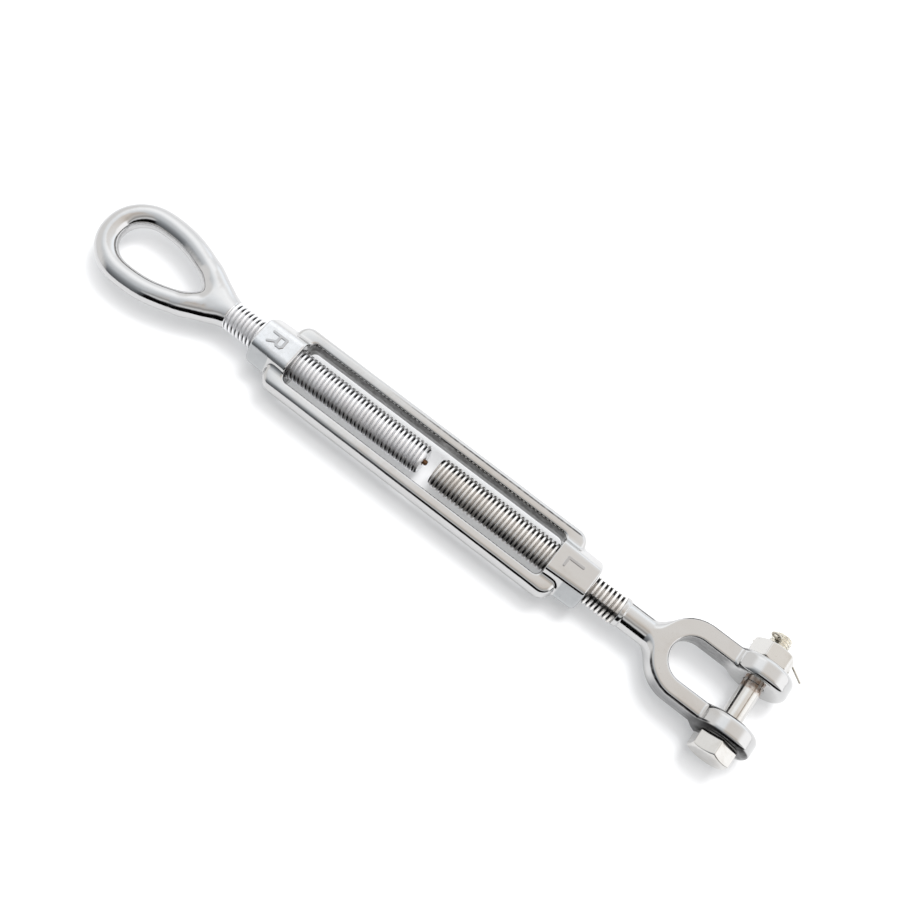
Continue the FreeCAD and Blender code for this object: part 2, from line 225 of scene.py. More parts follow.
# ------------------------------------------------------------------ screw thread
def thread(x0, x1, hand, major, root, pitch, fade0=None, fade1=None, end0=None, end1=None, cols=60, seed=0):
    """Helical thread about X from x0 to x1. Its rows follow the helix, so crests and roots are clean lines.
    end0/end1: chamfer depth at a free end. fade0/fade1: length over which the groove runs out."""
    depth = major - root
    crest = pitch * 0.34
    bottom = pitch * 0.10
    flank = (pitch - crest - bottom) / 2
    c, b = 0.10 * pitch / 2.309, 0.15 * pitch / 2.309
    slope = depth / flank
    lay = [  # (place along the pitch, depth below the crest, slope of r along x)
        (0.0, 0.0, 0.0), (crest / 2 - c * 0.2, 0.0, -0.12), (crest / 2 + c, depth * 0.075, -slope),
        (crest / 2 + flank * 0.5, depth * 0.5, -slope),
        (crest / 2 + flank - b * 0.8, depth * 0.90, -slope), (crest / 2 + flank + bottom * 0.5 - 0.02, depth, 0.0),
        (crest / 2 + flank + bottom + b * 0.8, depth * 0.90, slope),
        (crest / 2 + flank * 1.5 + bottom, depth * 0.5, slope),
        (pitch - crest / 2 - c, depth * 0.075, slope), (pitch - crest / 2 + c * 0.2, 0.0, 0.12)]
    s = np.array([p[0] for p in lay])
    dep = np.array([p[1] for p in lay])
    slo = np.array([p[2] for p in lay])
    turns = int(math.ceil((x1 - x0) / pitch)) + 2
    start = x0 - pitch
    rows_s = (start + np.arange(turns)[:, None] * pitch + s[None]).reshape(-1)
    rows_d = np.tile(dep, turns)
    rows_g = np.tile(slo, turns)
    a = np.arange(cols + 1) / cols * 2 * np.pi
    x = rows_s[:, None] + pitch * a[None] / (2 * np.pi)
    d = np.repeat(rows_d[:, None], cols + 1, 1)
    g = np.repeat(rows_g[:, None], cols + 1, 1)
    # the seam: the last column meets the first one a pitch further on, so both lie on one surface
    rng = np.random.RandomState(seed)
    nick = 1.0 + 0.0 * x
    amp = np.ones_like(x)
    if fade0:
        amp = amp * step(x, x0 + 0.2, x0 + fade0)
    if fade1:
        amp = amp * (1 - step(x, x1 - fade1, x1 - 0.2))
    lift = 0.035 * np.sin(x * 0.55 + 2.0 * np.sin(a)[None] + seed) + 0.02 * np.sin(x * 1.7 + 3 * np.cos(a)[None])
    r = major - d * amp * nick - np.where(d < 0.3 * depth, 0.5 * (lift + 0.055), 0.0)
    g = g * amp
    # where the thread meets a forging the skin dives under the forging's own
    if fade0:
        r = np.minimum(r, 5.9 + np.maximum(x - x0, 0) * 1.15)
    if fade1:
        r = np.minimum(r, 5.9 + np.maximum(x1 - x, 0) * 1.15)
    if end0 is not None:
        cone = major - end0 + (x - x0) * 0.85
        cut = r > cone
        r = np.where(cut, cone, r)
        g = np.where(cut, 0.85, g)
    if end1 is not None:
        cone = major - end1 + (x1 - x) * 0.85
        cut = r > cone
        r = np.where(cut, cone, r)
        g = np.where(cut, -0.85, g)
    low = min(root, (major - end0) if end0 is not None else 99, (major - end1) if end1 is not None else 99)
    if end0 is not None:
        r = np.where(x < x0, low, r)
    if end1 is not None:
        r = np.where(x > x1, low, r)
    out = (x < x0) | (x > x1)
    x = np.clip(x, x0, x1)
    th = a[None] * hand
    pts = np.stack([x, r * np.cos(th), r * np.sin(th)], -1).reshape(-1, 3)
    tang = g * pitch / (2 * np.pi * np.maximum(r, 1)) * hand
    ln = np.sqrt(1 + g * g + tang * tang)
    nrm = np.stack([-g, np.cos(th) - tang * np.sin(th) * 1.0, np.sin(th) + tang * np.cos(th)], -1) / ln[..., None]
    nrm = nrm.reshape(-1, 3)
    q = grid_quads(len(rows_s), cols + 1, False)
    keep = ~out.reshape(-1)[q].all(1)
    q = q[keep]
    if hand > 0:
        q = q[:, ::-1]
    # drop quads with no area, then the points nothing uses
    p = pts[q]
    size = np.linalg.norm(np.cross(p[:, 2] - p[:, 0], p[:, 3] - p[:, 1]), axis=1)
    q = q[size > 1e-7]
    used = np.unique(q)
    back = np.full(len(pts), -1)
    back[used] = np.arange(len(used))
    return pts[used], back[q], nrm[used]


def rod_end(x, side, r_out, hole_r, depth):
    """End face of a rod with its centre hole. side: -1 when the face looks to -X."""
    prof = rounded_profile([(0.0, r_out + 0.02), (0.0, hole_r + 0.25), (0.5, hole_r - 0.35), (depth, 0.5), (depth + 0.1, 0.02)],
                           [0, 0.3, 0.2, 0.3, 0])
    p, q, n = lathe([(x - side * u, r) for u, r in prof])
    # normals look out of the material
    want = np.zeros_like(n)
    want[:, 0] = side
    flip = (n * want).sum(1).mean() < 0
    if flip:
        n = -n
        q = q[:, ::-1]
    return p, q, n


# ------------------------------------------------------------------ objects
def obj_from(name, mesh, material, body, slot, *nodes):
    pts, quads, nrm = mesh
    me = bpy.data.meshes.new(name)
    me.vertices.add(len(pts))
    me.vertices.foreach_set("co", (pts * MM).astype(np.float32).ravel())
    me.loops.add(len(quads) * 4)
    me.loops.foreach_set("vertex_index", quads.astype(np.int32).ravel())
    me.polygons.add(len(quads))
    me.polygons.foreach_set("loop_start", np.arange(0, len(quads) * 4, 4, dtype=np.int32))
    me.update(calc_edges=True)
    me.validate()
    me.polygons.foreach_set("use_smooth", np.ones(len(me.polygons), bool))
    if len(me.vertices) == len(nrm):
        me.normals_split_custom_set_from_vertices(nrm.astype(np.float32).tolist())
    me.materials.append(material)
    o = bpy.data.objects.new(name, me)
    bpy.context.scene.collection.objects.link(o)
    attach(o, body)
    if nodes:
        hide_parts(*nodes)
    return o


# ------------------------------------------------------------------ materials
def steel(name, colour, rough, rough_vary, swell, swell_size, grain, grain_scale, dirt, dirt_colour, seed,
          stretch=(1.0, 6.0, 6.0), stains_and_painted_light=None, skin=0.07):
    """Polished steel: slow swells from forging, fine polishing lines, patchy gloss, a little staining, and the
    painted shade and painted light of any masks passed in.
    """
    m = bpy.data.materials.new(name)
    m.use_nodes = True
    nt = m.node_tree
    for n in list(nt.nodes):
        nt.nodes.remove(n)
    out = nt.nodes.new("ShaderNodeOutputMaterial")
    b = nt.nodes.new("ShaderNodeBsdfPrincipled")
    nt.links.new(b.outputs["BSDF"], out.inputs["Surface"])
    b.inputs["Metallic"].default_value = 1.0
    co = nt.nodes.new("ShaderNodeTexCoord")
    shift = nt.nodes.new("ShaderNodeMapping")
    shift.inputs["Location"].default_value = (seed * 0.137, seed * 0.071, seed * 0.053)
    nt.links.new(co.outputs["Object"], shift.inputs["Vector"])

    def noise(scale, detail, rough_=0.5, vector=None):
        n = nt.nodes.new("ShaderNodeTexNoise")
        n.inputs["Scale"].default_value = scale
        n.inputs["Detail"].default_value = detail
        n.inputs["Roughness"].default_value = rough_
        nt.links.new(vector or shift.outputs["Vector"], n.inputs["Vector"])
        return n

    def ramp(value, lo, hi, to0, to1):
        n = nt.nodes.new("ShaderNodeMapRange")
        n.interpolation_type = "SMOOTHSTEP"
        n.inputs["From Min"].default_value = lo
        n.inputs["From Max"].default_value = hi
        n.inputs["To Min"].default_value = to0
        n.inputs["To Max"].default_value = to1
        nt.links.new(value, n.inputs["Value"])
        return n

    # colour: nearly even, with faint warm stains and a few small dull specks
    patch = noise(55.0, 4.0, 0.6)
    speck = noise(620.0, 2.0, 0.5)
    stain = ramp(patch.outputs["Fac"], 0.52, 0.74, 0.0, dirt)
    dots = ramp(speck.outputs["Fac"], 0.68, 0.76, 0.0, dirt * 0.8)
    add = nt.nodes.new("ShaderNodeMath")
    add.operation = "MAXIMUM"
    nt.links.new(stain.outputs["Result"], add.inputs[0])
    nt.links.new(dots.outputs["Result"], add.inputs[1])
    mix = nt.nodes.new("ShaderNodeMix")
    mix.data_type = "RGBA"
    mix.inputs["A"].default_value = (*colour, 1)
    mix.inputs["B"].default_value = (*dirt_colour, 1)
    nt.links.new(add.outputs[0], mix.inputs["Factor"])
    base = mix.outputs["Result"]
    stains_and_painted_light_amounts = []
    if stains_and_painted_light:
        sep = nt.nodes.new("ShaderNodeSeparateXYZ")
        nt.links.new(co.outputs["Object"], sep.inputs[0])

        def maths(op, *args):
            n = nt.nodes.new("ShaderNodeMath")
            n.operation = op
            for i, v in enumerate(args):
                if isinstance(v, (int, float)):
                    n.inputs[i].default_value = v
                else:
                    nt.links.new(v, n.inputs[i])
            return n.outputs[0]

        mottled = noise(420.0, 4.0, 0.65)
        # the masks paint shade, light or a real tone into the base colour, and make the place a little rougher
        for mask, tone, keep in stains_and_painted_light(maths, ramp, sep.outputs["X"], sep.outputs["Y"], sep.outputs["Z"]):
            # broken up a little, so that the edge of each painted place is not ruled
            broken = ramp(mottled.outputs["Fac"], 0.30, 0.62, keep, 1.0)
            amount = maths("MULTIPLY", mask, broken.outputs["Result"])
            m2 = nt.nodes.new("ShaderNodeMix")
            m2.data_type = "RGBA"
            m2.inputs["B"].default_value = (*tone, 1)
            nt.links.new(base, m2.inputs["A"])
            nt.links.new(amount, m2.inputs["Factor"])
            base = m2.outputs["Result"]
            stains_and_painted_light_amounts.append(amount)
    nt.links.new(base, b.inputs["Base Color"])

    # gloss: hand polishing leaves patches and short lines
    lines = nt.nodes.new("ShaderNodeMapping")
    lines.inputs["Scale"].default_value = stretch
    nt.links.new(shift.outputs["Vector"], lines.inputs["Vector"])
    scratch = noise(grain_scale, 3.0, 0.6, lines.outputs["Vector"])
    gloss = noise(90.0, 3.0, 0.55)
    g1 = ramp(gloss.outputs["Fac"], 0.35, 0.7, rough - rough_vary, rough + rough_vary)
    g2 = ramp(scratch.outputs["Fac"], 0.4, 0.75, 0.0, rough_vary * 0.8)
    tot = nt.nodes.new("ShaderNodeMath")
    tot.operation = "ADD"
    nt.links.new(g1.outputs["Result"], tot.inputs[0])
    nt.links.new(g2.outputs["Result"], tot.inputs[1])
    tot2 = nt.nodes.new("ShaderNodeMath")
    tot2.operation = "MULTIPLY_ADD"
    nt.links.new(add.outputs[0], tot2.inputs[0])
    tot2.inputs[1].default_value = 0.25
    nt.links.new(tot.outputs[0], tot2.inputs[2])
    final = tot2.outputs[0]
    for amount in stains_and_painted_light_amounts:
        final = maths("MULTIPLY_ADD", amount, 0.14, final)
    nt.links.new(final, b.inputs["Roughness"])

    # relief: slow swells and fine lines
    wave = noise(swell_size, 2.0, 0.45)
    b1 = nt.nodes.new("ShaderNodeBump")
    b1.inputs["Strength"].default_value = 1.0
    b1.inputs["Distance"].default_value = swell
    nt.links.new(wave.outputs["Fac"], b1.inputs["Height"])
    b2 = nt.nodes.new("ShaderNodeBump")
    b2.inputs["Strength"].default_value = 1.0
    b2.inputs["Distance"].default_value = grain
    nt.links.new(scratch.outputs["Fac"], b2.inputs["Height"])
    nt.links.new(b1.outputs["Normal"], b2.inputs["Normal"])
    peel = noise(430.0, 2.0, 0.5)
    b3 = nt.nodes.new("ShaderNodeBump")
    b3.inputs["Strength"].default_value = 1.0
    b3.inputs["Distance"].default_value = swell * skin
    nt.links.new(peel.outputs["Fac"], b3.inputs["Height"])
    nt.links.new(b2.outputs["Normal"], b3.inputs["Normal"])
    nt.links.new(b3.outputs["Normal"], b.inputs["Normal"])
    return m


def body_painted_shading(maths, ramp, x, y, z):
    """Painted shade and light on the body: the inside of the slot is painted nearly black for the shade and dark
    reflections there, and is a little rougher.
    """
    # painted shade: the inside of the slot, coloured nearly black
    inx = ramp(maths("ABSOLUTE", x), 0.0762, 0.0770, 1.0, 0.0).outputs["Result"]
    iny = ramp(maths("ABSOLUTE", y), 0.01225, 0.01265, 1.0, 0.0).outputs["Result"]
    inz = ramp(maths("ABSOLUTE", z), 0.0054, 0.0061, 1.0, 0.0).outputs["Result"]
    # painted dark reflection: a dark line along the far rail, from its middle to its end
    line = maths("MULTIPLY", ramp(y, 0.01535, 0.01575, 0.0, 1.0).outputs["Result"], ramp(y, 0.01605, 0.01650, 1.0, 0.0).outputs["Result"])
    where = maths("MULTIPLY", ramp(x, -0.040, 0.010, 0.0, 1.0).outputs["Result"], ramp(x, 0.0795, 0.0825, 1.0, 0.0).outputs["Result"])
    line = maths("MULTIPLY", line, maths("MULTIPLY", where, ramp(z, 0.0030, 0.0045, 0.0, 1.0).outputs["Result"]))
    # painted light: the top of the left hub coloured lighter and bluer
    left_hub_top_light = maths("MULTIPLY", ramp(x, -0.082, -0.070, 1.0, 0.0).outputs["Result"], ramp(z, 0.0098, 0.0106, 0.0, 1.0).outputs["Result"])
    # painted shade: the viewer's side of both hubs coloured darker
    flank = maths("MULTIPLY", ramp(maths("ABSOLUTE", x), 0.0861, 0.0869, 0.0, 1.0).outputs["Result"], ramp(y, -0.0060, -0.0040, 1.0, 0.0).outputs["Result"])
    flank = maths("MULTIPLY", flank, ramp(z, 0.0094, 0.0101, 1.0, 0.0).outputs["Result"])
    return [(left_hub_top_light, (0.68, 0.69, 0.705), 0.55), (flank, (0.42, 0.43, 0.437), 0.9), (maths("MULTIPLY", inx, maths("MULTIPLY", iny, inz)), (0.10, 0.097, 0.092), 0.75),
            (line, (0.07, 0.07, 0.075), 0.45)]


def fork_painted_shading(maths, ramp, x, y, z):
    """Painted shade on the jaw forging: the inside of the fork is painted dark for the shade there, and so are
    several lines and faces outside it.
    """
    along = maths("MINIMUM", maths("SUBTRACT", x, 0.154), 0.0)
    far = maths("SQRT", maths("ADD", maths("MULTIPLY", along, along), maths("MULTIPLY", y, y)))
    # painted shade: the inside of the fork, coloured dark grey
    iny = ramp(far, 0.01120, 0.01165, 1.0, 0.0).outputs["Result"]
    inx = maths("MULTIPLY", ramp(x, 0.138, 0.140, 0.0, 1.0).outputs["Result"],
                ramp(x, 0.1655, 0.1715, 1.0, 0.0).outputs["Result"])
    inz = ramp(maths("ABSOLUTE", z), 0.0058, 0.0066, 1.0, 0.0).outputs["Result"]
    # painted shadow: the ears' outer faces, in the gaps at the bolt head and the nut, coloured nearly black
    outy = maths("MAXIMUM", ramp(y, 0.02075, 0.02115, 0.0, 1.0).outputs["Result"],
                 maths("MULTIPLY", ramp(y, -0.01995, -0.01925, 1.0, 0.0).outputs["Result"], ramp(z, -0.004, 0.001, 0.0, 1.0).outputs["Result"]))
    outx = ramp(x, 0.170, 0.173, 0.0, 1.0).outputs["Result"]
    # painted shade: the outer side towards the viewer is coloured darker, most where it runs into the ear
    near = maths("MULTIPLY", ramp(far, 0.01935, 0.01985, 0.0, 1.0).outputs["Result"], ramp(y, -0.006, -0.002, 1.0, 0.0).outputs["Result"])
    near = maths("MULTIPLY", near, maths("MULTIPLY", ramp(x, 0.141, 0.147, 0.0, 1.0).outputs["Result"], ramp(x, 0.1745, 0.1775, 1.0, 0.0).outputs["Result"]))
    deep = maths("MULTIPLY", near, ramp(x, 0.162, 0.169, 0.0, 1.0).outputs["Result"])
    # painted dark reflection: a dark line on the far arm's outer edge
    rim = maths("MULTIPLY", ramp(far, 0.01895, 0.01925, 0.0, 1.0).outputs["Result"], ramp(y, 0.002, 0.006, 0.0, 1.0).outputs["Result"])
    rim = maths("MULTIPLY", rim, maths("MULTIPLY", ramp(x, 0.139, 0.143, 0.0, 1.0).outputs["Result"],
                                       maths("MULTIPLY", ramp(x, 0.170, 0.173, 1.0, 0.0).outputs["Result"], ramp(z, 0.0046, 0.0056, 0.0, 1.0).outputs["Result"])))
    # painted dark reflection: a black line along the top outer edge of the near arm
    crease = maths("MULTIPLY", ramp(far, 0.01845, 0.01880, 0.0, 1.0).outputs["Result"], ramp(far, 0.01935, 0.01965, 1.0, 0.0).outputs["Result"])
    crease = maths("MULTIPLY", crease, maths("MULTIPLY", ramp(y, -0.004, 0.001, 1.0, 0.0).outputs["Result"], ramp(z, 0.0040, 0.0052, 0.0, 1.0).outputs["Result"]))
    crease = maths("MULTIPLY", crease, maths("MULTIPLY", ramp(x, 0.1355, 0.139, 0.0, 1.0).outputs["Result"], ramp(x, 0.1720, 0.1745, 1.0, 0.0).outputs["Result"]))
    # painted dark reflection: a black line along the top of the neck on its far side
    neck = maths("MULTIPLY", ramp(y, 0.0047, 0.0050, 0.0, 1.0).outputs["Result"], ramp(y, 0.0055, 0.0059, 1.0, 0.0).outputs["Result"])
    neck = maths("MULTIPLY", neck, ramp(z, 0.0, 0.001, 0.0, 1.0).outputs["Result"])
    neck = maths("MULTIPLY", neck, maths("MULTIPLY", ramp(x, 0.1175, 0.1185, 0.0, 1.0).outputs["Result"], ramp(x, 0.1290, 0.1315, 1.0, 0.0).outputs["Result"]))
    return [(neck, (0.03, 0.03, 0.032), 0.7), (maths("MULTIPLY", inx, maths("MULTIPLY", iny, inz)), (0.20, 0.20, 0.20), 0.8), (crease, (0.03, 0.03, 0.032), 0.75),
            (near, (0.25, 0.25, 0.255), 1.0), (deep, (0.09, 0.09, 0.09), 0.9), (rim, (0.02, 0.02, 0.022), 0.75),
            (maths("MULTIPLY", outx, outy), (0.035, 0.034, 0.034), 0.9)]


def roots(flank, middle, side, keep, near):
    def places(maths, ramp, x, y, z):
        """Grease in the roots of the thread with painted shade laid over it: darker flanks and roots all round, and
        nearly black painted shade on the viewer's side and in a band on the far side; the centre hole is bare and
        brown.
        """
        far = maths("SQRT", maths("ADD", maths("MULTIPLY", y, y), maths("MULTIPLY", z, z)))
        face = ramp(far, 0.0060, 0.0063, 0.0, 1.0).outputs["Result"]     # the end faces are left without painted shade
        slope = maths("MULTIPLY", face, ramp(far, 0.00690, 0.00755, 1.0, 0.0).outputs["Result"])
        low = maths("MULTIPLY", face, ramp(far, 0.00645, 0.00700, 1.0, 0.0).outputs["Result"])
        # painted shade: nearly black on the viewer's side and in a band on the far side
        to_viewer = ramp(y, near[1], near[0], 1.0, 0.0).outputs["Result"]
        away = maths("MULTIPLY", ramp(y, 0.0018, 0.0031, 0.0, 1.0).outputs["Result"], ramp(y, 0.0050, 0.0062, 1.0, 0.4).outputs["Result"])
        out = maths("MULTIPLY", maths("MAXIMUM", to_viewer, away),
                    maths("MULTIPLY", face, ramp(far, 0.00670, 0.00745, 1.0, 0.0).outputs["Result"]))
        hole = ramp(far, 0.00205, 0.00235, 1.0, 0.0).outputs["Result"]
        # painted shade: a black band along the viewer's side of the rod towards the jaw
        viewer_side_band = maths("MULTIPLY", ramp(x, 0.0985, 0.1000, 0.0, 1.0).outputs["Result"],
                      maths("MULTIPLY", ramp(y, -0.0058, -0.0051, 0.0, 1.0).outputs["Result"], ramp(y, -0.0041, -0.0033, 1.0, 0.0).outputs["Result"]))
        return [(slope, flank, keep), (low, middle, 0.7), (out, side, 0.9), (viewer_side_band, side, 0.75), (hole, (0.10, 0.055, 0.03), 0.9)]
    return places


def bolt_painted_light(maths, ramp, x, y, z):
    """Painted light and shade on the bolt: a golden painted highlight on the threaded tip, a black painted shadow
    line and a thin brown painted reflection line along the top of the shank between the ears, and brown painted shade
    on the shank next to the far ear.
    """
    # painted shade: brown on the shank next to the far ear
    a = ramp(y, 0.0060, 0.0074, 0.0, 1.0).outputs["Result"]
    b = ramp(y, 0.0100, 0.0106, 1.0, 0.0).outputs["Result"]
    plain = maths("MULTIPLY", ramp(maths("ABSOLUTE", y), 0.0104, 0.0108, 1.0, 0.0).outputs["Result"], ramp(z, 0.0, 0.0008, 0.0, 1.0).outputs["Result"])
    u = maths("SUBTRACT", x, 0.183)
    # painted shadow: a black line along the top of the shank, on its side towards the body
    edge = maths("MULTIPLY", ramp(u, -0.0043, -0.0040, 0.0, 1.0).outputs["Result"], ramp(u, -0.0036, -0.0033, 1.0, 0.0).outputs["Result"])
    # painted reflection: a thin brown line along the top of the shank
    thin = maths("MULTIPLY", ramp(u, 0.0004, 0.0007, 0.0, 1.0).outputs["Result"], ramp(u, 0.0009, 0.0012, 1.0, 0.0).outputs["Result"])
    # painted highlight: the threaded tip coloured lighter and golden
    tip = ramp(y, 0.0311, 0.0314, 0.0, 1.0).outputs["Result"]
    return [(tip, (0.84, 0.81, 0.73), 0.55), (maths("MULTIPLY", plain, edge), (0.04, 0.038, 0.036), 0.7),
            (maths("MULTIPLY", plain, thin), (0.30, 0.26, 0.22), 0.6), (maths("MULTIPLY", a, b), (0.30, 0.225, 0.18), 0.2)]


forged = steel("forged_body_steel", (0.55, 0.548, 0.545), 0.075, 0.035, 0.00022, 95.0, 0.000004, 900.0, 0.20,
               (0.42, 0.38, 0.34), 1, stains_and_painted_light=body_painted_shading)
stamped = steel("raised_mark_steel", (0.43, 0.43, 0.435), 0.15, 0.03, 0.00004, 300.0, 0.000004, 900.0, 0.20,
                (0.33, 0.30, 0.28), 8)
ends = steel("forged_end_steel", (0.55, 0.548, 0.545), 0.07, 0.035, 0.00022, 80.0, 0.000004, 900.0, 0.22,
             (0.40, 0.36, 0.32), 2, stains_and_painted_light=fork_painted_shading)
eye_steel = steel("forged_eye_steel", (0.56, 0.558, 0.558), 0.075, 0.045, 0.00024, 85.0, 0.000005, 900.0, 0.24,
                  (0.42, 0.39, 0.35), 7, skin=0.12)
# the roots tuples are the painted shade tones for the thread's flanks, its roots and its viewer's side
threaded = steel("thread_steel", (0.92, 0.92, 0.93), 0.42, 0.06, 0.00005, 300.0, 0.000006, 1600.0, 0.30,
                 (0.56, 0.53, 0.50), 3, stains_and_painted_light=roots((0.84, 0.84, 0.85), (0.80, 0.80, 0.81), (0.02, 0.02, 0.022), 0.25, (-0.0053, -0.0063)))
threaded_dull = steel("thread_steel_dull", (0.86, 0.85, 0.835), 0.38, 0.06, 0.00005, 300.0, 0.000006, 1600.0, 0.45,
                      (0.50, 0.44, 0.38), 6, stains_and_painted_light=roots((0.76, 0.74, 0.72), (0.62, 0.59, 0.56), (0.015, 0.014, 0.014), 0.4, (-0.0040, -0.0060)))
rusty = steel("bare_nib_steel", (0.16, 0.085, 0.045), 0.42, 0.08, 0.00006, 500.0, 0.00001, 1800.0, 0.5,
              (0.05, 0.03, 0.02), 9)
bolted = steel("bolt_steel", (0.60, 0.59, 0.57), 0.10, 0.04, 0.00010, 150.0, 0.000010, 700.0, 0.35,
               (0.33, 0.28, 0.22), 4, stretch=(6.0, 0.6, 6.0), stains_and_painted_light=bolt_painted_light)
wire = steel("cotter_steel", (0.64, 0.62, 0.57), 0.16, 0.05, 0.00004, 400.0, 0.000006, 1500.0, 0.4,
             (0.34, 0.28, 0.19), 5)


# ------------------------------------------------------------------ body
def hub_field(x, y, z):
    ax, ay, az = np.abs(x), np.abs(y), np.abs(z)
    v = 14.6 - (ax - 76.2) / 21.9 * 0.6
    slope = (ay - v) * 0.8436 + az * 0.5369
    top = az - 11.0
    d = smax(slope, top, 1.5 + 0.8 * (x < 0))
    low = (ay - v + 0.55)
    d = smax(d, low, 0.9)
    plan = box2(ax - 80.0, ay, 18.1, 15.2, 5.0)
    d = smax(d, plan, 1.5)
    d = smax(d, 76.2 - ax, 0.7)
    return d


def rail_field(x, y, z):
    ax, ay = np.abs(x), np.abs(y)
    outer = box2(ax, ay, 85.6, 18.6, 6.5)
    slot = box2(ax, ay, 76.2, 12.0, 3.6)
    d = np.maximum(outer, -slot)
    side = step(outer + slot, -1.5, 1.5)      # 0 near the slot, 1 near the outer side
    r = 1.15 + 1.15 * side
    draft = (0.085 + 0.055 * side) * (np.abs(z) - 3.3)      # walls lean back from the parting line
    u = np.clip((outer + slot) / np.maximum(slot - outer, 0.5), -1, 1)
    return slab(d + draft, np.abs(z) + np.where(u > 0, 0.62, 0.22) * u * u, 6.68, r)


def body_field(x, y, z):
    h = hub_field(x, y, z)
    r = rail_field(x, y, z)
    d = smin(h, r, 1.6)
    ax = np.abs(x)
    rho = np.hypot(y, z)
    open_in = np.clip(0.95 - (ax - 76.2), 0, 1.4)
    open_out = np.clip(0.95 - (98.1 - ax), 0, 1.4)
    bore = (7.87 + np.maximum(open_in, open_out)) - rho
    zone = 70.0 - ax
    d = smax(d, np.maximum(bore, -50.0) + np.where(ax < 70, -50.0, 0.0), 0.35)
    return d + 0.04 * uneven(x, y, z, 7, 18.0)


body_mesh = nets(body_field, (-99.0, -19.4, -11.8), (99.0, 19.4, 11.8), 0.48)


# ------------------------------------------------------------------ thread marks on the hubs
def strokes(lines, w):
    def f(x, y, z):
        d = None
        for (ax_, ay_), (bx, by) in lines:
            px, py = x - ax_, y - ay_
            vx, vy = bx - ax_, by - ay_
            t = np.clip((px * vx + py * vy) / (vx * vx + vy * vy), 0, 1)
            e = np.hypot(px - t * vx, py - t * vy) - w / 2
            d = e if d is None else smin(d, e, 0.25)
        top = z - 11.46
        d = smax(d, top, 0.24)
        return np.maximum(d, 10.72 - z)
    return f


mark_r = [((-92.0, 3.0), (-84.3, 3.0)), ((-84.3, 3.0), (-84.2, -0.9)), ((-84.2, -0.9), (-85.1, -2.0)),
          ((-85.1, -2.0), (-87.0, -2.0)), ((-87.0, -2.0), (-87.9, -1.0)), ((-87.9, -1.0), (-87.9, 3.0)),
          ((-87.9, -0.2), (-92.0, -2.6))]
mark_l = [((82.4, 2.4), (90.4, 2.4)), ((82.4, 2.4), (82.4, -1.9))]
mark_r_mesh = nets(strokes(mark_r, 1.35), (-93.4, -4.0, 10.5), (-83.0, 4.4, 11.8), 0.13)
mark_l_mesh = nets(strokes(mark_l, 1.35), (81.0, -3.3, 10.5), (91.8, 3.8, 11.8), 0.13)


# ------------------------------------------------------------------ eye end
EYE = [(-192.3, 0.0), (-191.7, 4.9), (-189.3, 9.8), (-185.0, 13.9), (-179.0, 16.7), (-172.0, 17.6),
       (-165.0, 17.5), (-158.0, 16.7), (-150.5, 14.9), (-144.0, 12.7), (-136.5, 9.6), (-131.5, 7.4),
       (-127.0, 5.2), (-123.0, 3.2), (-117.5, 1.0)]


def smooth_line(points, per):
    """Natural cubic through the points, sampled evenly in the parameter."""
    p = np.array(points, float)
    t = np.concatenate([[0], np.cumsum(np.linalg.norm(np.diff(p, axis=0), axis=1) ** 0.9)])
    n = len(p)
    a = np.zeros((n, n))
    rhs = np.zeros((n, p.shape[1]))
    a[0, 0] = a[-1, -1] = 1
    for i in range(1, n - 1):
        h0, h1 = t[i] - t[i - 1], t[i + 1] - t[i]
        a[i, i - 1], a[i, i], a[i, i + 1] = h0, 2 * (h0 + h1), h1
        rhs[i] = 6 * ((p[i + 1] - p[i]) / h1 - (p[i] - p[i - 1]) / h0)
    m = np.linalg.solve(a, rhs)
    out = []
    for i in range(n - 1):
        h = t[i + 1] - t[i]
        u = np.linspace(0, h, per, endpoint=False)[:, None]
        out.append(p[i] + u * ((p[i + 1] - p[i]) / h - h * (2 * m[i] + m[i + 1]) / 6)
                   + u ** 2 * m[i] / 2 + u ** 3 * (m[i + 1] - m[i]) / (6 * h))
    out.append(p[-1:])
    return np.concatenate(out)


eye_full = smooth_line([(x, -y) for x, y in EYE[::-1][:-1]] + EYE, 14)
middle = len(eye_full) // 2
eye_half = eye_full[middle - 22:]
eye_bend = smooth_line([(-152.0, 15.25), (-148.0, 14.1), (-144.0, 12.7), (-140.2, 10.9), (-136.2, 8.3), (-132.6, 4.6),
                        (-131.0, 0.0), (-132.6, -4.6)], 9)


def to_line(px, py, line):
    """Distance in the plane to a polyline of short, even steps."""
    px, py = np.broadcast_arrays(px, py)
    shape = px.shape
    px, py = px.reshape(-1), py.reshape(-1)
    a = line[:-1]
    d = line[1:] - a
    dd = (d * d).sum(1)
    coarse = np.arange(0, len(line), 7)
    best = np.full(len(px), 1e9)
    reach = np.arange(-9, 9)
    for s in range(0, len(px), 60000):
        qx, qy = px[s:s + 60000], py[s:s + 60000]
        near = coarse[((qx[:, None] - line[coarse, 0]) ** 2 + (qy[:, None] - line[coarse, 1]) ** 2).argmin(1)]
        k = np.clip(near[:, None] + reach[None], 0, len(a) - 1)
        ax, ay, dx, dy = a[k, 0], a[k, 1], d[k, 0], d[k, 1]
        ex, ey = qx[:, None] - ax, qy[:, None] - ay
        t = np.clip((ex * dx + ey * dy) / dd[k], 0, 1)
        best[s:s + 60000] = ((ex - t * dx) ** 2 + (ey - t * dy) ** 2).min(1)
    return np.sqrt(best).reshape(shape)


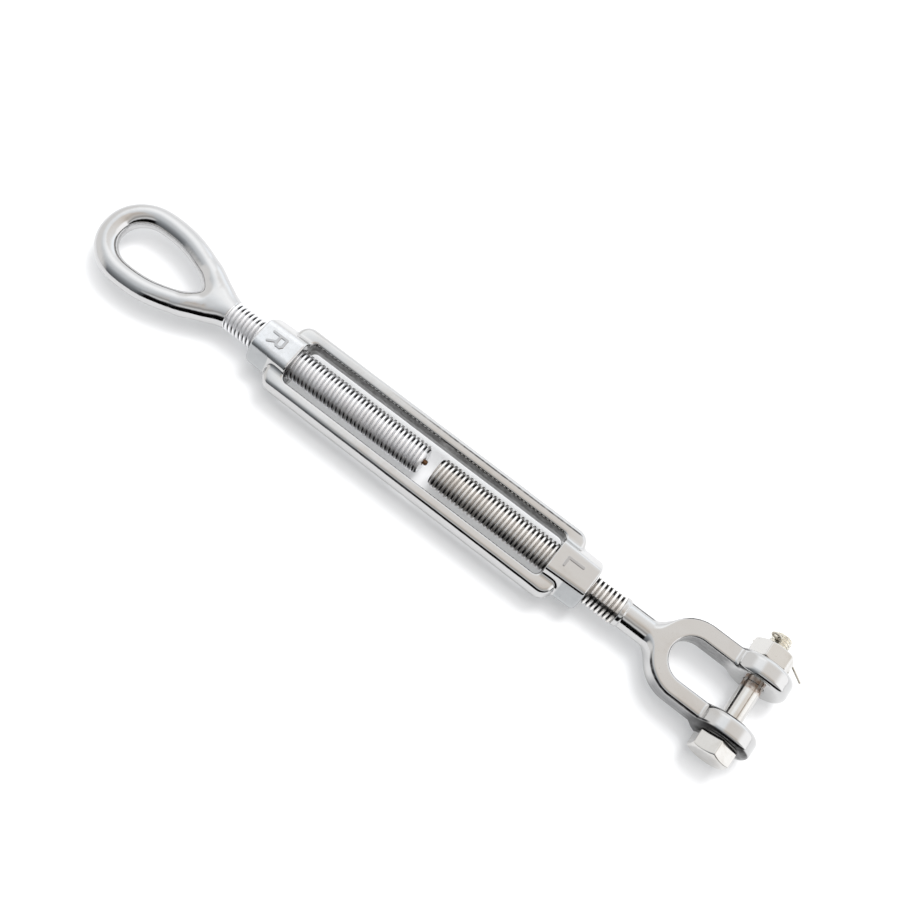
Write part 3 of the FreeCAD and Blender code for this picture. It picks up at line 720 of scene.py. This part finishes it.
def eye_field(x, y, z):
    up = to_line(x, y, eye_half)
    dn = to_line(x, -y, eye_half)
    leg = lambda e: np.hypot(e, z * 1.0) - 5.9
    k = 0.02 + 5.0 * step(x, -152.0, -138.0) * (1 - 0.85 * step(x, -130.0, -119.0))
    d = smin(leg(up), leg(dn), k)
    # the bend that closes the teardrop, and the neck that grows out of it
    bend = to_line(x, np.abs(y), eye_bend)
    d = smin(d, np.hypot(bend, z) - 5.86, 0.02 + 2.6 * step(x, -144.0, -136.0))
    ry = np.interp(x, [-133.0, -129.5, -126.0, -121.0, -116.0], [8.0, 8.9, 8.7, 7.6, 6.85])
    rz = np.interp(x, [-133.0, -129.5, -126.0, -121.0, -116.0], [5.5, 6.0, 6.3, 6.7, 6.85])
    web = (np.sqrt((y / ry) ** 2 + (z / rz) ** 2) - 1) * np.minimum(ry, rz)
    web = smax(web, -131.0 - x, 2.5)
    d = smin(d, web, 3.0)
    d = smax(d, x + 116.6, 0.8)
    return d + 0.07 * uneven(x, y, z, 3, 22.0)


eye_forging = nets(eye_field, (-199.4, -24.4, -8.6), (-115.5, 24.4, 8.6), 0.5)
eye_rod = thread(-118.4, 1.0, 1, ROD_R, ROOT_R, PITCH, fade0=3.0, end1=1.4, seed=1)
eye_face = rod_end(1.0, 1, ROD_R - 1.4, 0.4, 0.3)
nib_mesh = lathe(rounded_profile([(0.7, 1.36), (2.6, 1.3), (3.1, 0.8), (3.1, 0.02)], [0, 0.35, 0.3, 0]), 40)


# ------------------------------------------------------------------ jaw end
def jaw_field(x, y, z):
    ay = np.abs(y)
    round_ = np.hypot(x - 154.0, y)
    across = np.where(x < 154.0, round_, ay) - 15.35       # 0 on the bar's middle line
    d2 = np.abs(across) - 4.55
    # plan of the fork: the bar swept round the bend, drawn out to the neck with a fillet
    neck2 = np.maximum(ay - 6.8, x - 146.0)
    d2 = smin(d2, neck2, 0.1 + 5.2 * step(x, 128.0, 134.0))
    d2 = np.maximum(d2, -(across + 4.55) + 0.0)
    grow = step(x, 130.5, 139.0)                            # from round neck to flat-topped fork
    h = 6.8 + 0.6 * grow
    wide = np.where(y > 0, 0.75, 2.5) * step(np.abs(y), 0.0, 8.0) + 1.6 * (1 - step(np.abs(y), 0.0, 8.0))
    r = 6.7 + (1.15 + (wide - 1.15) * np.clip(0.5 + across / 9.1, 0, 1) - 6.7) * grow ** 0.75
    draft = 0.07 * (np.abs(z) - 3.7) * grow
    arm = slab(d2 + draft, z, h, r)
    arm = smax(arm, x - 187.0, 2.0)
    arm = np.maximum(arm, 129.0 - x)
    neck = np.hypot(y, z) - 6.8
    neck = np.maximum(neck, x - 130.5)
    d = np.minimum(arm, neck)
    rho = np.hypot(x - 183.0, z)
    q0 = rho - 15.2 + 3.2
    q1 = np.abs(ay - 15.8) - 5.5 + 3.2
    ear = np.hypot(np.maximum(q0, 0), np.maximum(q1, 0)) + np.minimum(np.maximum(q0, q1), 0) - 3.2
    d = smin(d, ear, 1.3)
    inner = 10.3 - ay                                       # keeps the gap's walls flat at the ears
    d = np.where(x > 176.0, smax(d, inner, 0.5), d)
    collar = smax(np.hypot(y, z) - 7.5, np.abs(x - 116.0) - 1.5, 0.7)
    d = smin(d, collar, 0.9)
    d = smax(d, 114.9 - x, 0.6)
    hole = 5.08 - rho
    d = np.where(x > 160.0, smax(d, hole, 0.9), d)
    return d + 0.06 * uneven(x, y, z, 5, 20.0)


jaw_forging = nets(jaw_field, (114.0, -22.4, -16.2), (199.2, 22.4, 16.2), 0.5)
jaw_rod = thread(8.5, 116.0, -1, ROD_R, ROOT_R, PITCH, fade1=2.4, end0=1.4, seed=2)
jaw_face = rod_end(8.5, -1, ROD_R - 1.4, 2.1, 2.6)


# ------------------------------------------------------------------ bolt, nut, cotter pin
PIN_X = 183.0


def hexed(x, z, af, turn):
    d = None
    for k in range(3):
        a = math.radians(turn + 30 + 60 * k)
        e = np.abs((x - PIN_X) * math.cos(a) + z * math.sin(a)) - af / 2
        d = e if d is None else smax(d, e, 0.4)
    return d


def head_field(x, y, z):
    rho = np.hypot(x - PIN_X, z)
    d = hexed(x, z, 18.5, 90.0)
    d = smax(d, -29.88 - y, 0.35)
    d = smax(d, y + 21.38, 0.35)
    d = smax(d, (rho - 0.475 * 18.5) * 0.5 - (y + 29.88) * 0.866, 0.5)
    return d + 0.03 * uneven(x, y, z, 11, 9.0)


def nut_field(x, y, z):
    rho = np.hypot(x - PIN_X, z)
    d = hexed(x, z, 18.5, 116.0)
    d = smax(d, y - 30.88, 0.35)
    d = smax(d, 21.38 - y, 0.35)
    d = smax(d, (rho - 0.475 * 18.5) * 0.5 - (30.88 - y) * 0.866, 0.5)
    d = smax(d, (rho - 0.475 * 18.5) * 0.5 - (y - 21.38) * 0.866, 0.5)
    mouth = 5.02 + np.clip(0.9 - (30.88 - y), 0, 1.2) - rho
    d = smax(d, mouth, 0.25)
    return d + 0.03 * uneven(x, y, z, 12, 9.0)


COT_Y = 34.1
COT_A = math.radians(124.0)


def stub_field(x, y, z):
    """Threaded end of the bolt with the cross hole for the cotter pin."""
    rho = np.hypot(x - PIN_X, z)
    th = np.arctan2(z, x - PIN_X)
    s = (y / 1.5 - th / (2 * np.pi)) % 1.0
    tri = np.abs(s - 0.5) * 2.0                              # 1 on the crest, 0 in the root
    r = 4.98 - 0.86 * np.clip((0.93 - tri) / 0.78, 0, 1)
    d = (rho - r) * 0.8
    d = smax(d, y - 38.2, 0.3)
    d = smax(d, (rho - 3.9 - (38.2 - y)) * 0.7071, 0.3)
    ca, sa = math.cos(COT_A), math.sin(COT_A)
    u = -(x - PIN_X) * sa + z * ca
    hole = 1.4 - np.hypot(u, y - COT_Y)
    d = smax(d, hole, 0.35)
    return np.maximum(d, 26.0 - y)


head_mesh = nets(head_field, (171.6, -30.6, -11.8), (194.4, -20.6, 11.8), 0.34)
nut_mesh = nets(nut_field, (171.4, 20.8, -11.8), (194.6, 31.6, 11.8), 0.34)
stub_mesh = nets(stub_field, (177.4, 25.4, -5.6), (188.6, 38.8, 5.6), 0.2)
shank_profile = [(-23.0, 0.02), (-23.0, 5.0)] + [(y, 5.0 + 0.012 * math.sin(y * 0.9)) for y in np.linspace(-22.5, 26.5, 50)] \
    + [(27.0, 5.0), (27.0, 0.02)]
sp, sq, sn = lathe(shank_profile, 72)
shank_mesh = (np.stack([sp[:, 1] + PIN_X, sp[:, 0], sp[:, 2]], 1), sq[:, ::-1], np.stack([sn[:, 1], sn[:, 0], sn[:, 2]], 1))


def tube(line, radius, cols=18, flat=None, seed=0):
    """Round wire along a line of points, with rounded ends."""
    p = np.array(line, float)
    t = np.gradient(p, axis=0)
    t /= np.linalg.norm(t, axis=1)[:, None]
    n = np.zeros_like(p)
    first = np.cross(t[0], (0.3, 0.9, 0.2))
    n[0] = first / np.linalg.norm(first)
    for i in range(1, len(p)):
        v = n[i - 1] - t[i] * (n[i - 1] @ t[i])
        n[i] = v / np.linalg.norm(v)
    b = np.cross(t, n)
    r = np.full(len(p), radius)
    cap = [(-radius * math.sin(q), radius * math.cos(q)) for q in np.linspace(math.pi / 2 - 0.05, 0.25, 5)]
    head = [(p[0] + t[0] * (a + 0), rr, 0) for a, rr in cap]
    tail = [(p[-1] - t[-1] * a, rr, -1) for a, rr in cap[::-1]]
    pts = [h[0] for h in head] + list(p) + [h[0] for h in tail]
    rad = [h[1] for h in head] + list(r) + [h[1] for h in tail]
    idx = [0] * len(head) + list(range(len(p))) + [len(p) - 1] * len(tail)
    pts, rad = np.array(pts), np.array(rad)
    nn, bb, tt = n[idx], b[idx], t[idx]
    a = np.linspace(0, 2 * np.pi, cols, endpoint=False)
    ring = nn[:, None] * np.cos(a)[None, :, None] + bb[:, None] * np.sin(a)[None, :, None]
    v = pts[:, None] + ring * rad[:, None, None]
    dr = np.gradient(rad) / np.maximum(np.linalg.norm(np.gradient(pts, axis=0), axis=1), 1e-6)
    nrm = ring - tt[:, None] * np.clip(dr, -6, 6)[:, None, None]
    nrm /= np.linalg.norm(nrm, axis=2)[..., None]
    q = grid_quads(len(pts), cols, True)[:, ::-1]
    return v.reshape(-1, 3), q, nrm.reshape(-1, 3)


def cotter_line():
    a = np.array([math.cos(COT_A), 0, math.sin(COT_A)])
    cross = np.array([a[1] * 0 - a[2] * 1, 0.0, a[0] * 1 - a[1] * 0])   # a x Y
    o = np.array([PIN_X, COT_Y, 0.0])
    top, low, q, er = 5.5, -5.8, 0.612, 2.1
    at = lambda u, v: o + a * u + cross * v
    long_leg = [(202.4, 28.4, -10.2), (197.2, 31.4, -9.6), (192.0, 33.6, -8.4), (188.0, 34.0, -6.6)]
    short = [(181.6, 34.0, -8.0), (178.4, 33.4, -10.0), (175.0, 32.0, -11.2)]
    pts = [np.array(p) for p in long_leg]
    pts += [at(low + 1.0, -q), at(0, -q), at(top - 0.6, -q), at(top + er * 0.55, -er * 0.8), at(top + er * 1.5, -er * 0.95),
            at(top + er * 2.35, 0), at(top + er * 1.5, er * 0.95), at(top + er * 0.55, er * 0.8), at(top - 0.6, q),
            at(0, q), at(low + 1.0, q)]
    pts += [np.array(p) for p in short]
    return smooth_line(pts, 10)


cotter_mesh = tube(cotter_line(), 0.6)

obj_from("body_forging", body_mesh, forged, "body", "forged_body", "turnbuckle_body")
obj_from("right_hand_mark", mark_r_mesh, stamped, "body", "forged_body")
obj_from("left_hand_mark", mark_l_mesh, stamped, "body", "forged_body")
obj_from("eye_forging", eye_forging, eye_steel, "eye", "forged_ends", "eye_end")
obj_from("eye_rod_thread", joined(eye_rod, eye_face), threaded, "eye", "forged_ends")
obj_from("eye_rod_nib", nib_mesh, rusty, "eye", "forged_ends")
obj_from("jaw_forging", jaw_forging, ends, "jaw", "forged_ends", "jaw_end")
obj_from("jaw_rod_thread", joined(jaw_rod, jaw_face), threaded_dull, "jaw", "forged_ends")
obj_from("clevis_bolt", joined(head_mesh, shank_mesh, stub_mesh), bolted, "bolt_set", "bolt_steel", "jaw_bolt")
obj_from("clevis_nut", nut_mesh, bolted, "bolt_set", "bolt_steel", "jaw_nut")
obj_from("split_pin", cotter_mesh, wire, "bolt_set", "cotter_steel", "cotter_pin")


# ------------------------------------------------------------------ stage
def floor():
    me = bpy.data.meshes.new("floor")
    s = 6.0
    me.from_pydata([(-s, -s, -0.0152), (s, -s, -0.0152), (s, s, -0.0152), (-s, s, -0.0152)], [], [(0, 1, 2, 3)])
    m = bpy.data.materials.new("floor_white")
    m.use_nodes = True
    p = m.node_tree.nodes["Principled BSDF"]
    p.inputs["Base Color"].default_value = (0.60, 0.605, 0.615, 1)
    p.inputs["Emission Color"].default_value = (0.98, 0.99, 1.0, 1)
    p.inputs["Emission Strength"].default_value = 0.26
    p.inputs["Roughness"].default_value = 0.9
    p.inputs["Specular IOR Level"].default_value = 0.1
    me.materials.append(m)
    o = bpy.data.objects.new("floor", me)
    bpy.context.scene.collection.objects.link(o)


floor()


def sky():
    """Plain soft studio surround: an even light tent, dimmer low on the viewer's side. It depends on the angle round X and a little on x."""
    w = bpy.data.worlds.new("studio")
    bpy.context.scene.world = w
    w.use_nodes = True
    nt = w.node_tree
    for n in list(nt.nodes):
        nt.nodes.remove(n)
    out = nt.nodes.new("ShaderNodeOutputWorld")
    bg = nt.nodes.new("ShaderNodeBackground")
    nt.links.new(bg.outputs[0], out.inputs["Surface"])
    co = nt.nodes.new("ShaderNodeTexCoord")
    sep = nt.nodes.new("ShaderNodeSeparateXYZ")
    nt.links.new(co.outputs["Generated"], sep.inputs[0])

    def maths(op, a, b=None, c=None):
        n = nt.nodes.new("ShaderNodeMath")
        n.operation = op
        for i, v in enumerate((a, b, c)):
            if v is None:
                continue
            if isinstance(v, (int, float)):
                n.inputs[i].default_value = v
            else:
                nt.links.new(v, n.inputs[i])
        return n.outputs[0]

    def soft(value, lo, hi, to0, to1):
        n = nt.nodes.new("ShaderNodeMapRange")
        n.interpolation_type = "SMOOTHSTEP"
        for k, v in (("From Min", lo), ("From Max", hi), ("To Min", to0), ("To Max", to1)):
            n.inputs[k].default_value = v
        nt.links.new(value, n.inputs["Value"])
        return n.outputs["Result"]

    turn = maths("ARCTAN2", sep.outputs["Y"], sep.outputs["Z"])
    turn = maths("MULTIPLY_ADD", turn, 1 / (2 * math.pi), 0.5)
    def ramp(stops):
        r = nt.nodes.new("ShaderNodeValToRGB")
        r.color_ramp.interpolation = "LINEAR"
        el = r.color_ramp.elements
        while len(el) > 1:
            el.remove(el[-1])
        el[0].position = 0.0
        for i, (deg, v, warm) in enumerate(stops):
            e = el[0] if i == 0 else el.new((deg + 180) / 360)
            e.color = (v * (1 + warm) * 0.5, v * 0.5, v * (1 - warm) * 0.5, 1)
        nt.links.new(turn, r.inputs["Fac"])
        return r.outputs["Color"]

    def blend(a, b, fac):
        m = nt.nodes.new("ShaderNodeMix")
        m.data_type = "RGBA"
        for key, v in (("A", a), ("B", b)):
            if isinstance(v, tuple):
                m.inputs[key].default_value = v
            else:
                nt.links.new(v, m.inputs[key])
        nt.links.new(fac, m.inputs["Factor"])
        return m.outputs["Result"]

    x = sep.outputs["X"]
    end = blend(ramp(SKY_EYE), ramp(SKY_JAW), soft(x, -0.31, -0.08, 0.0, 1.0))
    end = blend(end, (0.535, 0.53, 0.525, 1), soft(x, -0.56, -0.80, 0.0, 1.0))
    bright = maths("MULTIPLY", soft(x, 0.58, 0.84, 0.0, 1.0), soft(sep.outputs["Y"], -0.28, -0.06, 0.0, 1.0))
    end = blend(end, (0.80, 0.80, 0.805, 1), bright)
    sc = nt.nodes.new("ShaderNodeVectorMath")
    sc.operation = "SCALE"
    nt.links.new(end, sc.inputs[0])
    sc.inputs["Scale"].default_value = 2.0
    nt.links.new(sc.outputs["Vector"], bg.inputs["Color"])
    bg.inputs["Strength"].default_value = 1.0


# (degrees round X from +Z towards +Y, brightness, warmth), for reflections that lean to the eye and to the jaw
SKY_EYE = [(-180, 0.9, 0.0), (-120, 0.6, -0.02), (-104, 0.24, -0.03), (-84, 0.17, -0.06), (-66, 0.24, -0.06), (-48, 0.38, -0.05),
           (-36, 0.52, -0.05), (-22, 0.78, -0.04), (-8, 0.92, -0.03), (4, 1.05, -0.025), (16, 1.32, -0.025), (28, 1.50, -0.01),
           (40, 1.60, -0.01), (54, 1.46, -0.01), (66, 1.30, -0.01), (90, 1.17, -0.01), (180, 0.9, 0.0)]
SKY_JAW = [(-180, 0.9, 0.0), (-116, 0.45, 0.0), (-107, 0.03, 0.0), (-100, 0.003, 0.0), (-59, 0.003, 0.0), (-54, 0.40, 0.0),
           (-48, 1.05, -0.01), (-42, 0.80, 0.0), (-32, 0.42, 0.03), (-23, 0.72, 0.03), (-15, 0.80, 0.06), (-7, 0.68, 0.09),
           (5, 0.92, 0.08), (17, 1.08, 0.04), (30, 1.16, 0.02), (44, 1.20, 0.01), (56, 1.32, 0.0), (68, 1.54, -0.03),
           (80, 1.56, -0.04), (92, 1.25, -0.05), (180, 0.9, 0.0)]
sky()


def area(name, place, target, size, watts, colour=(1, 1, 1), glossy=True):
    l = bpy.data.lights.new(name, "AREA")
    l.shape = "RECTANGLE"
    l.size, l.size_y = size
    l.energy = watts
    l.color = colour
    o = bpy.data.objects.new(name, l)
    bpy.context.scene.collection.objects.link(o)
    o.location = place
    o.rotation_euler = (Vector(target) - Vector(place)).to_track_quat("-Z", "Y").to_euler()
    o.visible_camera = False
    o.visible_glossy = glossy


area("floor_wash", (0.08, 0.10, 1.25), (0.0, 0.0, 0.0), (0.5, 0.5), 4.6, glossy=False)
area("shadow_side", (0.12, 0.40, 1.02), (0.0, 0.0, 0.0), (0.34, 0.34), 7.6, glossy=False)

# ------------------------------------------------------------------ camera
cam_data = bpy.data.cameras.new("camera")
cam = bpy.data.objects.new("camera", cam_data)
bpy.context.scene.collection.objects.link(cam)
right = Vector((0.7904, 0.6056, 0.0928))
down = Vector((0.5996, -0.7335, -0.3200))
away = Vector((-0.1257, 0.3086, -0.9429))
cam.matrix_world = Matrix(((right.x, -down.x, -away.x, 0.0730), (right.y, -down.y, -away.y, -0.1489),
                           (right.z, -down.z, -away.z, 0.4930), (0, 0, 0, 1)))
cam_data.sensor_width = 36.0
cam_data.lens = 1100.2 / 900.0 * 36.0
cam_data.clip_start = 0.02
bpy.context.scene.camera = cam
bpy.context.scene.view_settings.view_transform = "Standard"
bpy.context.scene.view_settings.look = "None"
